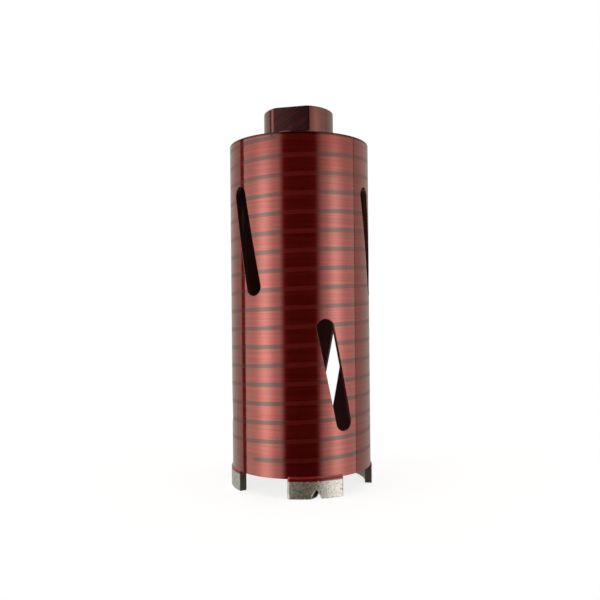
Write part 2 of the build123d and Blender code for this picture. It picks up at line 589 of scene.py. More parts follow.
def hub_columns(hub):
    """Azimuths of the hub's grid, closer together where a flat meets the round."""
    half = math.acos(hub.flat_width / 2 / hub.radius)
    near = math.radians(1.6)
    half_turn = np.concatenate([
        side_steps(-half - near, -half + near, 18),
        side_steps(-half + near, half - near, 64),
        side_steps(half - near, half + near, 18),
        side_steps(half + near, math.pi - half - near, 76),
    ])
    return hub.flat_azimuth + np.concatenate([half_turn, half_turn + math.pi])


def hub_rows(hub, azimuth):
    """Rows of the hub from the top edge down, round its foot and up the bore.

    Above the collar the radius is the lesser of the turned radius and the flat's;
    below the flat a quarter round leads out to a ledge on the full round.
    """
    size = hub.edge_break
    ledge = PLATE_TOP + hub.collar_height
    flat = flat_radius(hub, azimuth)
    rows = []

    def row(radius, height):
        rows.append((np.broadcast_to(radius, azimuth.shape), np.full(azimuth.shape, height)))

    for drop, turned in TOP_EDGE_ROWS:
        inset = size * max(0.0, 1 - drop / (0.14 * MM)) ** 2 * (2.5 if turned < -0.1 * MM else 1.0)
        row(lesser(hub.radius - hub.top_chamfer + turned, flat - inset, size), HUB_TOP - drop)
    for height in np.linspace(HUB_TOP - 0.9 * MM, ledge + hub.flat_corner + 0.1 * MM, 24):
        row(lesser(hub.radius, flat, size), height)
    for sweep in np.linspace(0, math.pi / 2, ROUND_STEPS):
        beyond = hub.flat_corner * (1 - math.cos(sweep))
        above = hub.flat_corner * (1 - math.sin(sweep))
        row(lesser(hub.radius, flat + beyond, size), ledge + above)
    depth = hub.radius - lesser(hub.radius, flat + hub.flat_corner, size)
    for inset, drop in ((2.2, 0.0), (1.0, 0.0), (0.3, 0.3)):
        row(hub.radius - np.minimum(inset * size, depth), ledge - drop * size)
    row(hub.radius, ledge - size)
    top, low = PLATE_TOP, PLATE_FOOT
    for height in np.linspace(ledge - 2.2 * size, top + 0.2 * MM, 8):
        row(hub.radius, height)
    inner = hub.major_radius
    spigot = hub.spigot_radius
    mouth = HUB_TOP - hub.mouth_chamfer
    soft = 0.12 * MM
    for radius, height in (
        (hub.radius, top), (spigot + soft, top), (spigot, top), (spigot, top - soft),
        (spigot, low + 2 * soft), (spigot, low + soft),
        (spigot - soft, low), (spigot - 2 * soft, low),
        (inner + 3 * soft, low), (inner + 2 * soft, low),
        (inner, low + 2 * soft), (inner, low + 3 * soft),
        (inner, mouth - soft), (inner, mouth), (inner + soft, mouth + soft),
        (inner + hub.mouth_chamfer - soft, HUB_TOP - soft), (inner + hub.mouth_chamfer, HUB_TOP),
        (inner + hub.mouth_chamfer + soft, HUB_TOP),
    ):
        row(radius, height)
    rows.append(rows[0])
    radius, height = (np.stack(part) for part in zip(*rows))
    return radius, height


def weld_ring(shell, hub):
    """Fillet weld round the foot of the hub: a bulging section with ripples along the turn.

    The bead's face is the straight fillet plus a sine bulge; each ripple is a raised
    sine of the azimuth, whose phase lags towards the toes, so it curves like a scale.
    """
    turn = side_steps(0, TURN, hub.weld_steps * RIPPLE_STEPS)
    share = np.linspace(0, 1, WELD_ROWS)[:, None]
    leg = hub.weld_leg + ripple(turn, LEG_SEED, (2, 3, 7, 13, 29), 0.20 * MM) - 0.12 * MM
    lag = 2.4 * (2 * share - 1) ** 2
    phase = hub.weld_steps * turn + ripple(turn, SCALE_SEED, (3, 8, 17), 1.2)
    scale = np.abs(np.sin(phase / 2 - lag / 2))
    lift = np.sin(math.pi * share) * (0.16 * leg + 0.12 * MM * scale)
    radius = hub.radius + leg * share + lift * DIAGONAL - 0.02 * MM
    height = PLATE_TOP + leg * (1 - share) + lift * DIAGONAL - 0.01 * MM
    back = np.full((2, len(turn)), hub.radius - 0.3 * MM)
    sunk = np.broadcast_to([[PLATE_TOP - 0.3 * MM], [PLATE_TOP + 2.0 * MM]], back.shape)
    radius = np.concatenate([radius, back, radius[:1]])
    height = np.concatenate([height, sunk, height[:1]])
    points = polar(radius, turn, height)
    shell.add(points, surface_normals(points, closed=True), closed=True)


def hub_surface(hub, materials):
    """Closed surface of the hub, with its flats, ledges and chamfers, and the weld at its foot."""
    shell = Shell()
    turn = hub_columns(hub)
    radius, height = hub_rows(hub, turn)
    points = polar(radius, turn, height)
    shell.add(points, surface_normals(points, closed=True), closed=True)
    weld_ring(shell, hub)
    return shell.make("turned_hub", materials)


def thread_form(hub, turns):
    """Radius of the thread against turns along the axis: rounded crest, flanks and root."""
    slope = np.abs(2 * (turns - np.floor(turns)) - 1)
    share = smooth(held((slope - 0.10) / 0.80))
    return hub.minor_radius + (hub.major_radius - 0.04 * MM - hub.minor_radius) * share


def thread_surface(hub, materials):
    """Closed sleeve that lines the bore, with the thread on its inner wall.

    The rows climb one pitch in a turn, so each keeps its place on the thread's form.
    The cone of the mouth cuts the crests away at the top.
    """
    shell = Shell()
    low = PLATE_FOOT
    high = HUB_TOP - hub.mouth_chamfer
    outside = hub.major_radius + 0.10 * MM
    turn = np.linspace(0, TURN, THREAD_COLUMNS)
    rows = int(math.ceil((high - low) / hub.thread_pitch + 1) * THREAD_ROWS) + 1
    climb = (np.arange(rows)[:, None] / THREAD_ROWS + turn / TURN - 1) * hub.thread_pitch
    height = np.clip(low + climb, low, high)

    def wall(height):
        radius = thread_form(hub, (height - low) / hub.thread_pitch - turn / TURN)
        mouth = hub.major_radius - (high - height)
        foot = hub.major_radius - 0.6 * MM - (height - low)
        return np.minimum(np.maximum(np.maximum(radius, mouth), foot), hub.major_radius)

    points = polar(wall(height), turn, height)
    spaced = polar(wall(low + climb), turn, low + climb)
    shell.add(points, surface_normals(spaced))
    for level, upward in ((high, 1.0), (low, -1.0)):
        edge = wall(np.full(turn.shape, level))
        ring = np.stack([polar(edge, turn, level), polar(outside, turn, level)])
        shell.add(ring, upward * UPWARDS, flip=upward < 0)
    skin = polar(outside, turn, np.array([[high], [low]]))
    shell.add(skin, polar(1.0, turn, np.zeros((2, 1))))
    return shell.make("hub_thread", materials)


# ---------------------------------------------------------------- segments

LENGTH_STEPS = 232              # points along a segment, both ends counted
END_STEPS = 9                   # points over an end's rounding, and then over its flat face
ROUGH_WAVES = 28                # sine waves summed for an uneven face
ROUGH_SEED = 31                 # seed of the first segment's faces; the others follow it
APEX_ROUND = 0.10 * MM          # rounding of the groove's floor
LIP_ROUND = 0.22 * MM           # and of its two lips
SUNK = 0.06 * MM                # how far a segment's back stands inside the tube
GROOVE_FADE = 7.0 * MM          # height at which a segment no longer follows its groove
GROOVE_SIDE = 0.6 * MM          # depth at which a point counts as wholly in the groove


def rough_waves(points, seed, shortest, longest, size):
    """Unevenness: a sum of sine waves in seeded directions and lengths."""
    chance = np.random.default_rng(seed)
    directions = unit(chance.normal(size=(ROUGH_WAVES, 3)))
    lengths = chance.uniform(shortest, longest, ROUGH_WAVES)
    phases = chance.uniform(0, TURN, ROUGH_WAVES)
    waves = np.sin(points @ (directions * TURN / lengths[:, None]).T + phases)
    return size * waves.sum(axis=-1) / math.sqrt(ROUGH_WAVES)


def groove_lift(segment, points, azimuth):
    """Height of the V groove's floor above the cutting plane, and how far a point is in the groove.

    The line of the groove's apex crosses the outer face at its offset and runs inwards
    at its skew. The lift falls evenly with the distance from that line, faster on the
    trailing side, down to zero, with the apex and the two lips rounded.
    """
    crossing = azimuth + segment.groove_offset
    foot = np.array([CUTTING_RADIUS * math.sin(crossing), -CUTTING_RADIUS * math.cos(crossing)])
    heading = azimuth - segment.groove_skew
    aside = np.array([-math.cos(heading), -math.sin(heading)])
    distance = (points[..., 0] - foot[0]) * aside[0] + (points[..., 1] - foot[1]) * aside[1]
    narrowing = math.cos(segment.groove_skew)
    side = np.where(distance > 0, segment.groove_leading, segment.groove_trailing) * narrowing
    away = np.sqrt(distance ** 2 + APEX_ROUND ** 2) - APEX_ROUND
    fall = segment.groove_depth * (1 - away / side)
    return (fall + np.sqrt(fall ** 2 + LIP_ROUND ** 2)) / 2, held(fall / GROOVE_SIDE)


def segment_section(segment):
    """Closed outline of a segment's section: block, weld shoulder and its back on the tube."""
    inner = BORE_RADIUS - segment.inner_clearance
    wear = 0.7 * segment.edge_round
    shoulder = RIM_HEIGHT + segment.shoulder_rise
    rounded = (
        ((inner, 0.0), wear),
        ((CUTTING_RADIUS, 0.0), wear),
        ((CUTTING_RADIUS, RIM_HEIGHT + segment.shoulder_drop), 0.25 * MM),
        ((TUBE_RADIUS, shoulder), 0.015 * MM),
        ((TUBE_RADIUS - SUNK, shoulder), 0.015 * MM),
        ((TUBE_RADIUS - SUNK, RIM_HEIGHT + SUNK), 0.02 * MM),
        ((BORE_RADIUS + SUNK, RIM_HEIGHT + SUNK), 0.02 * MM),
        ((inner, RIM_HEIGHT - segment.inner_clearance), 0.2 * MM),
    )
    return rounded_outline(*zip(*rounded), 0.28 * MM)


def segment_surface(segment, index, materials):
    """Closed surface of one segment: its section carried along the rim, with a V groove.

    Near the groove the rows turn with it: a row's azimuth gains the angle that a
    straight line at the skew gains as its radius shrinks, faded out towards the ends.
    At the ends the section shrinks, along a quarter round, then over the flat end face.
    """
    radius, height = segment_section(segment).T
    middle_radius = (radius.min() + radius.max()) / 2
    middle_height = height.max() / 2
    thickness = (radius.max() - radius.min()) / 2
    half = segment.span / 2
    sweep = np.linspace(0, math.pi / 2, END_STEPS)
    face = np.linspace(0, 1, END_STEPS)[1:]

    def end(run, fall):
        rounded = half - run / middle_radius * (1 - np.sin(sweep))
        along = np.concatenate([rounded, np.full(len(face), half)])
        drawn_in = fall * (1 - np.cos(sweep))
        wide, tall = (
            np.concatenate([1 - drawn_in / size, (1 - fall / size) * (1 - face)])
            for size in (thickness, middle_height)
        )
        return along, wide, tall

    worn, worn_wide, worn_tall = end(segment.end_round, segment.edge_round)
    sharp, sharp_wide, sharp_tall = end(segment.tail_round, segment.tail_fall)
    inner_steps = np.linspace(-worn[0], sharp[0], LENGTH_STEPS)[1:-1]
    steps = np.concatenate([-worn[::-1], inner_steps, sharp])[:, None]
    ones = np.ones(len(inner_steps))
    wide = np.concatenate([worn_wide[::-1], ones, sharp_wide])[:, None]
    tall = np.concatenate([worn_tall[::-1], ones, sharp_tall])[:, None]
    ring_radius = middle_radius + (radius - middle_radius) * wide
    ring_height = middle_height + (height - middle_height) * tall
    skew = segment.groove_skew + segment.groove_offset
    gain = np.arcsin(np.minimum(CUTTING_RADIUS * math.sin(skew) / ring_radius, 1)) - skew
    near = smooth(held(1.25 - np.abs(steps - segment.groove_offset) / (0.45 * segment.span)))
    near = near * (np.abs(steps) < half) * held((half - np.abs(steps)) / (0.16 * half))
    azimuth = segment.azimuth + index * TURN / segment.count
    points = polar(ring_radius, azimuth + steps + gain * near, ring_height)
    lift, cut = groove_lift(segment, points, azimuth)
    grooved = float(index % 2 == 0)
    cut = cut * grooved
    points[..., 2] += lift * held(1 - ring_height / GROOVE_FADE) * grooved
    lip = cut * (steps < segment.groove_offset) * held(1 - ring_height / segment.lip_height) ** 2
    worn_off = segment.lip_depth * lip * (ring_radius > middle_radius)
    points[..., :2] *= 1 - (worn_off / ring_radius)[..., None]
    normals = surface_normals(points, closed=True)
    free = held((RIM_HEIGHT + 0.5 * MM - ring_height) / MM)
    uneven = rough_waves(points, ROUGH_SEED + index, 0.7 * MM, 4.5 * MM, 0.014 * MM) * free
    points += normals * (uneven - 0.02 * MM)[..., None] * (points[..., 2:] > 0.05 * MM)
    points[..., 2] = np.maximum(points[..., 2], 0.0)
    normals = surface_normals(points, closed=True)
    normals[-len(face):] = tangent(azimuth + half)
    normals[:len(face)] = -tangent(azimuth - half)
    at_end = held(((np.abs(steps) - half) * middle_radius + 0.35 * MM) / (0.3 * MM))
    mark = np.maximum(at_end, cut * held(1.3 - ring_height / (0.25 * MM)))
    shell = Shell()
    shell.add(points, normals, closed=True, mark=mark)
    return shell.make(f"diamond_segment_{index + 1}", materials)


# ---------------------------------------------------------------- shader nodes

def operation(name, swapped=False):
    """A method of Value that adds a Math node; swapped puts the Value itself second."""
    def method(self, *other):
        return self.graph.math(name, *((*other, self) if swapped else (self, *other)))
    return method


class Value:
    """An output of a node; sums, products and the methods below add further nodes to its graph."""

    __add__ = operation("ADD")
    __radd__ = operation("ADD", swapped=True)
    __sub__ = operation("SUBTRACT")
    __rsub__ = operation("SUBTRACT", swapped=True)
    __mul__ = operation("MULTIPLY")
    __rmul__ = operation("MULTIPLY", swapped=True)
    __truediv__ = operation("DIVIDE")
    __abs__ = operation("ABSOLUTE")
    larger = operation("MAXIMUM")

    def __init__(self, graph, socket):
        self.graph = graph
        self.socket = socket

    def clamped(self):
        """The same value, held between 0 and 1 by the Math node that makes it."""
        self.socket.node.use_clamp = True
        return self

    def ease(self, low, high, start=0.0, stop=1.0):
        """The value carried smoothly from low..high to start..stop."""
        eased = self.graph.node(
            "ShaderNodeMapRange", ("interpolation_type", "SMOOTHSTEP"),
            Value=self, From_Min=low, From_Max=high, To_Min=start, To_Max=stop,
        )
        return eased["Result"]


class Graph:
    """Adds nodes to one tree and joins them; a number, a tuple or a Value feeds an input."""

    def __init__(self, tree):
        self.tree = tree

    def feed(self, socket, value):
        """Links a Value to a socket, or sets the socket's own value; a colour gets its alpha."""
        if isinstance(value, Value):
            self.tree.links.new(value.socket, socket)
        else:
            socket.default_value = (*value[:3], 1.0) if socket.type == "RGBA" else value

    def fill(self, node, **inputs):
        """Feeds a node's inputs by name, spaces written as underscores."""
        for name, value in inputs.items():
            self.feed(node.inputs[name.replace("_", " ")], value)

    def node(self, kind, *settings, **inputs):
        """Makes a node from (name, setting) pairs and its inputs; gives its outputs by name."""
        made = self.tree.nodes.new(kind)
        for name, value in settings:
            setattr(made, name, value)
        self.fill(made, **inputs)
        return {socket.name: Value(self, socket) for socket in made.outputs}

    def math(self, operation, *terms):
        """The output of a Math node."""
        made = self.tree.nodes.new("ShaderNodeMath")
        made.operation = operation
        for socket, term in zip(made.inputs, terms):
            self.feed(socket, term)
        return Value(self, made.outputs[0])

    def mix(self, share, first, second):
        """A mix of two colours; a Mix node's colours are its inputs 6 and 7 and its output 2."""
        made = self.tree.nodes.new("ShaderNodeMix")
        made.data_type = "RGBA"
        for index, value in ((0, share), (6, first), (7, second)):
            self.feed(made.inputs[index], value)
        return Value(self, made.outputs[2])

    def layers(self, colour, *coats):
        """A colour under others, each laid over it by its share."""
        for share, coat in coats:
            colour = self.mix(share, colour, coat)
        return colour

    def place(self):
        """The point's place, in metres."""
        return self.node("ShaderNodeTexCoord")["Object"]

    def split(self, vector):
        """The three parts of a vector."""
        return self.node("ShaderNodeSeparateXYZ", Vector=vector).values()

    def join(self, x, y, z):
        """A vector from its three parts."""
        return self.node("ShaderNodeCombineXYZ", X=x, Y=y, Z=z)["Vector"]

    def noise(self, vector, scale, detail=3.0, roughness=0.5, distortion=0.0):
        """Noise from 0 to 1 at a scale per metre."""
        made = self.node(
            "ShaderNodeTexNoise",
            Vector=vector, Scale=scale, Detail=detail, Roughness=roughness, Distortion=distortion,
        )
        return made["Fac"]

    def cells(self, scale):
        """Scattered cells: the distance from a cell's point, and three chances that a cell keeps."""
        made = self.node(
            "ShaderNodeTexVoronoi", ("feature", "F1"),
            Vector=self.place(), Scale=scale, Randomness=1.0,
        )
        return made["Distance"], *self.split(made["Color"])

    def bump(self, height, strength, distance):
        """Normal from a height between 0 and 1 that stands for a real distance."""
        made = self.node("ShaderNodeBump", Strength=strength, Distance=distance, Height=height)
        return made["Normal"]

    def seen(self):
        """One for camera, glossy and transmission rays, zero for all others."""
        path = self.node("ShaderNodeLightPath")
        seen = path["Is Camera Ray"].larger(path["Is Glossy Ray"])
        return seen.larger(path["Is Transmission Ray"])

    def group(self, tree, **inputs):
        """The outputs of a group node, in order."""
        return self.node("ShaderNodeGroup", ("node_tree", tree), **inputs).values()


def shared_group(name, outputs, **inputs):
    """Turns a function that fills a group into one that gives the group, made on first use.

    The function takes the graph and the group's input values, and gives its output values.
    """
    def wrap(build):
        def group():
            if name in bpy.data.node_groups:
                return bpy.data.node_groups[name]
            tree = bpy.data.node_groups.new(name, "ShaderNodeTree")
            for label, default in inputs.items():
                socket = tree.interface.new_socket(
                    label.replace("_", " "), in_out="INPUT", socket_type="NodeSocketFloat"
                )
                socket.default_value = default
            for label in outputs:
                tree.interface.new_socket(label, in_out="OUTPUT", socket_type="NodeSocketFloat")
            graph = Graph(tree)
            entries = list(graph.node("NodeGroupInput").values())[:len(inputs)]
            graph.node("NodeGroupOutput", **dict(zip(outputs, build(graph, *entries))))
            return tree
        return group
    return wrap


@shared_group("Cylinder place", ("Radius", "Turn", "Height"))
def cylinder_place(graph):
    """Group: the point's distance from the axis, its azimuth in turns and its height."""
    x, y, z = graph.split(graph.place())
    return graph.math("SQRT", x * x + y * y), graph.math("ARCTAN2", x, y * -1.0) / TURN, z


@shared_group("Brush lines", ("Lines", "Streaks"), Fine=9000.0, Coarse=1600.0, Along=28.0)
def brush_lines(graph, fine, coarse, along):
    """Group: lines round the axis, as from a belt, fine and coarse; 0 to 1, mean one half."""
    x, y, z = graph.split(graph.place())
    return [
        graph.noise(graph.join(x * along, y * along, z * across), 1.0, detail, 0.6)
        for across, detail in ((fine, 2.0), (coarse, 3.0))
    ]


@shared_group(
    "Wound band", ("Mask",),
    Pitch=8.0 * MM, Width=1.8 * MM, Phase=0.0, Start=1.9, End=19.0, Waver=0.1 * MM,
)
def wound_band(graph, pitch, width, phase, start, end, waver):
    """Group: a band wound round the axis as a right-hand helix, on the outer wall only.

    The height less the phase, over the pitch, less the azimuth in turns, is nearly a
    whole number on the band; what is left of it is the distance from the band's middle.
    It drifts a little in its first turn, its edges waver, and its two ends fade.
    """
    radius, turn, height = graph.group(cylinder_place())
    rise = (height - phase) / pitch - turn
    whole = graph.math("ROUND", rise)
    wound = whole + turn
    begun = wound - start
    drift = begun.ease(0.0, 0.25, -0.2 * MM, 0.2 * MM) + begun.ease(0.35, 0.9, 0.0, -0.2 * MM)
    away = (rise - whole) * pitch + drift
    half = width * 0.5
    soft = 0.06 * MM
    upper = half - (away + (graph.noise(graph.place(), 700.0) - 0.5) * waver)
    lower = half + (away + (graph.noise(graph.place(), 930.0) - 0.5) * waver)
    between = upper.ease(-soft, soft) * lower.ease(-soft, soft)
    started = begun.ease(0.0, 0.022) * (end - wound).ease(0.0, 0.032)
    return [between * started * radius.ease(TUBE_RADIUS - 0.9 * MM, TUBE_RADIUS - 0.7 * MM)]


@shared_group("Cross hatch", ("Height",), Spacing=0.42 * MM, Break_up=0.5)
def cross_hatch(graph, spacing, share):
    """Group: a fine crossed texture, the greater of two slanted sine waves, broken by noise."""
    radius, turn, height = graph.group(cylinder_place())
    around = turn * TURN * radius / spacing
    upward = height / spacing
    first = graph.math("SINE", (around + upward) * TURN)
    second = graph.math("SINE", (around - upward) * TURN)
    crossed = first.larger(second) * 0.5 + 0.5
    return [crossed * (1.0 - share) + graph.noise(graph.place(), 3200.0, 3.0, 0.7) * share]


# ---------------------------------------------------------------- materials

COAT_ROUGHNESS = 0.10           # of every lacquered piece but the tube
NICK_TURN = -20.9 / 360         # azimuth of the nick in the tube's dark top edge, in turns
NICK_COLOUR = (0.030, 0.036, 0.024)
DUST_COLOUR = (0.30, 0.10, 0.09)
DARK_DUST_COLOUR = (0.02, 0.006, 0.006)


def new_material(name):
    """A new material, the graph of its nodes and its Principled shader."""
    material = bpy.data.materials.new(name)
    material.use_nodes = True
    shader = next(node for node in material.node_tree.nodes if node.type == "BSDF_PRINCIPLED")
    return material, Graph(material.node_tree), shader


def shade(colour, share):
    """A colour made darker or lighter."""
    return [part * share for part in colour]


def oxidised(graph, finish, scale, roughness):
    """Cloudy colour of the oxidised steel inside the tube."""
    cloud = graph.noise(graph.place(), scale, 5.0, roughness)
    return graph.mix(cloud, finish.inside, shade(finish.inside, 1.9))


def tube_material(context):
    """Red lacquer over belt-ground steel, with the matt band under it; bare and oxidised inside.

    The wall is darkened along its top edge as painted shade; that edge has one nick, and the wall
    carries a few specks of dust.
    """
    tube = context.scene.core_bit_tube
    finish = context.scene.core_bit_finish
    material, graph, shader = new_material("Lacquered tube")
    radius, turn, height = graph.group(cylinder_place())
    on_band, = graph.group(
        wound_band(), Pitch=tube.band_pitch, Width=tube.band_width, Phase=tube.band_phase,
        Start=tube.band_start, End=tube.band_end, Waver=0.16 * MM,
    )
    lines, streaks = graph.group(brush_lines(), Fine=9000.0, Coarse=1900.0, Along=22.0)
    hatch, = graph.group(cross_hatch())

    below_top = height.ease(TUBE_TOP - 2.0 * MM, TUBE_TOP - 1.2 * MM, 1.0, 0.0)
    inside = radius.ease(TUBE_RADIUS - 0.5 * MM, TUBE_RADIUS - 0.2 * MM, 1.0, 0.0) * below_top
    inside = inside.larger(radius.ease(BORE_RADIUS + 0.1 * MM, BORE_RADIUS + 0.4 * MM, 1.0, 0.0))
    # Painted shade: the lacquer is darkened along the top edge and over the top face.
    edge = height.ease(TUBE_TOP - 1.3 * MM, TUBE_TOP - 0.8 * MM, 0.0, 0.85)
    beside = abs(turn - NICK_TURN).ease(0.0012, 0.0020, 1.0, 0.0)
    nick = beside * height.ease(TUBE_TOP - 2.2 * MM, TUBE_TOP - 1.7 * MM)
    distance, first_chance, second_chance, _ = graph.cells(190.0)
    speck = distance.ease(0.045, 0.075, 0.8, 0.0) * first_chance.ease(0.60, 0.62)
    dark_speck = speck * second_chance.ease(0.49, 0.51)

    # Of these layers the edge is painted shade; the nick and the specks are real marks.
    wall = graph.layers(
        finish.lacquer, (streaks.ease(0.40, 0.62), finish.lacquer_thin), (on_band, finish.band),
        (edge, shade(finish.lacquer, 0.15)), (nick, NICK_COLOUR),
        (speck, DUST_COLOUR), (dark_speck, DARK_DUST_COLOUR),
    )
    # The coat is thinned at the nick and the dark specks, and along the top edge as part of its
    # painted shade.
    bare = edge.larger(nick.larger(dark_speck))
    graph.fill(
        shader,
        Base_Color=graph.mix(inside, wall, oxidised(graph, finish, 160.0, 0.65)),
        Metallic=(0.70 - on_band * 0.55 - inside * 0.5).clamped(),
        Roughness=0.24 + on_band * 0.27 + inside * 0.3,
        Specular_IOR_Level=0.15,
        Coat_Weight=(1.0 - on_band * 0.04 - bare * 0.6 - inside * 0.9).clamped(),
        Coat_Roughness=0.05,
        Coat_IOR=finish.coat_ior,
        Anisotropic=0.5,
        Anisotropic_Rotation=0.25,
        Normal=graph.bump(lines * (1.0 - on_band) * 0.6 + hatch * on_band * 0.5, 0.3, 0.03 * MM),
    )
    return material


def hub_material(context):
    """Darker lacquer over the turned hub; slanted cutter marks on its flats, each flat darkened
    towards one side as painted shade; a bare steel bore.
    """
    hub = context.scene.core_bit_hub
    finish = context.scene.core_bit_finish
    material, graph, shader = new_material("Lacquered hub")
    radius, _, height = graph.group(cylinder_place())
    lines, streaks = graph.group(brush_lines(), Fine=7000.0, Coarse=2400.0, Along=60.0)
    turned = (0.0, 0.0, -hub.flat_azimuth)
    faced = graph.node("ShaderNodeMapping", Vector=graph.place(), Rotation=turned)
    side, out, up = graph.split(faced["Vector"])

    ledge = PLATE_TOP + hub.collar_height
    away = abs(abs(out) - hub.flat_width / 2)
    on_flat = away.ease(0.04 * MM, 0.14 * MM, 1.0, 0.0) * height.ease(ledge, ledge + 0.3 * MM)
    on_flat = on_flat * radius.ease(hub.radius - 0.12 * MM, hub.radius - 0.04 * MM, 1.0, 0.0)
    slant = side + up * -1.6
    marks = graph.noise(graph.join(slant * 1500.0, out * 40.0, (side + up) * 60.0), 1.0, 3.0, 0.6)
    # The cutter marks are real; the sideways term darkens each flat towards one side, which is painted
    # shade.
    cut = (marks + side.ease(-8.0 * MM, 8.0 * MM, 0.0, -0.10)).ease(0.38, 0.62)
    streak = streaks.ease(0.38, 0.68)
    mouth = hub.major_radius + hub.mouth_chamfer
    inside = radius.ease(mouth - 0.48 * MM, mouth + 0.02 * MM, 1.0, 0.0)

    body = graph.mix(streak * 0.5, finish.hub, shade(finish.hub, 1.7))
    flat = graph.mix(cut, shade(finish.flat, 0.75), shade(finish.flat, 2.2))
    # Thin coat on the flats, taken further away towards the same side as painted shade.
    thin_coat_and_painted_shade = side.ease(-6.0 * MM, 6.0 * MM, 0.74, 0.96)
    graph.fill(
        shader,
        Base_Color=graph.mix(inside, graph.mix(on_flat, body, flat), finish.bare_steel),
        Metallic=0.8 - on_flat * 0.05,
        Roughness=0.28 + on_flat * 0.12 + streak * 0.08,
        Coat_Weight=(0.98 - on_flat * thin_coat_and_painted_shade - inside).clamped(),
        Coat_Roughness=COAT_ROUGHNESS,
        Coat_IOR=finish.coat_ior,
        Anisotropic=0.5,
        Anisotropic_Rotation=0.25,
        Normal=graph.bump(marks * on_flat + lines * 0.3, 0.7, 0.04 * MM),
    )
    return material


def thread_material(context):
    """Cut steel with fine lines round the axis and a film of oil in the roots."""
    hub = context.scene.core_bit_hub
    finish = context.scene.core_bit_finish
    material, graph, shader = new_material("Cut thread")
    radius, _, _ = graph.group(cylinder_place())
    lines, streaks = graph.group(brush_lines(), Fine=16000.0, Coarse=4000.0, Along=120.0)
    dark = shade(finish.bare_steel, 0.35)
    worn = graph.mix(radius.ease(hub.minor_radius, hub.major_radius), finish.bare_steel, dark)
    graph.fill(
        shader,
        Base_Color=graph.mix(streaks * 0.5, worn, dark),
        Metallic=1.0,
        Roughness=streaks.ease(0.3, 0.7, 0.24, 0.42),
        Normal=graph.bump(lines, 0.4, 0.02 * MM),
    )
    return material


def plate_material(context):
    """Lacquer over faced steel above; bare, heat-darkened steel inside the tube."""
    finish = context.scene.core_bit_finish
    material, graph, shader = new_material("Lacquered plate")
    radius, _, height = graph.group(cylinder_place())
    below = height.ease(PLATE_TOP - 1.0 * MM, PLATE_TOP - 0.6 * MM, 1.0, 0.0)
    rings = graph.noise(radius * 5200.0, 1.0, 3.0, 0.6)
    body = graph.mix(rings * 0.5, finish.lacquer, finish.lacquer_thin)
    graph.fill(
        shader,
        Base_Color=graph.mix(below, body, oxidised(graph, finish, 220.0, 0.6)),
        Metallic=0.8 - below * 0.4,
        Roughness=0.26 + rings * 0.12 + below * 0.25,
        Coat_Weight=1.0 - below * 0.9,
        Coat_Roughness=COAT_ROUGHNESS,
        Coat_IOR=finish.coat_ior,
        Normal=graph.bump(rings, 0.5, 0.03 * MM),
    )
    return material


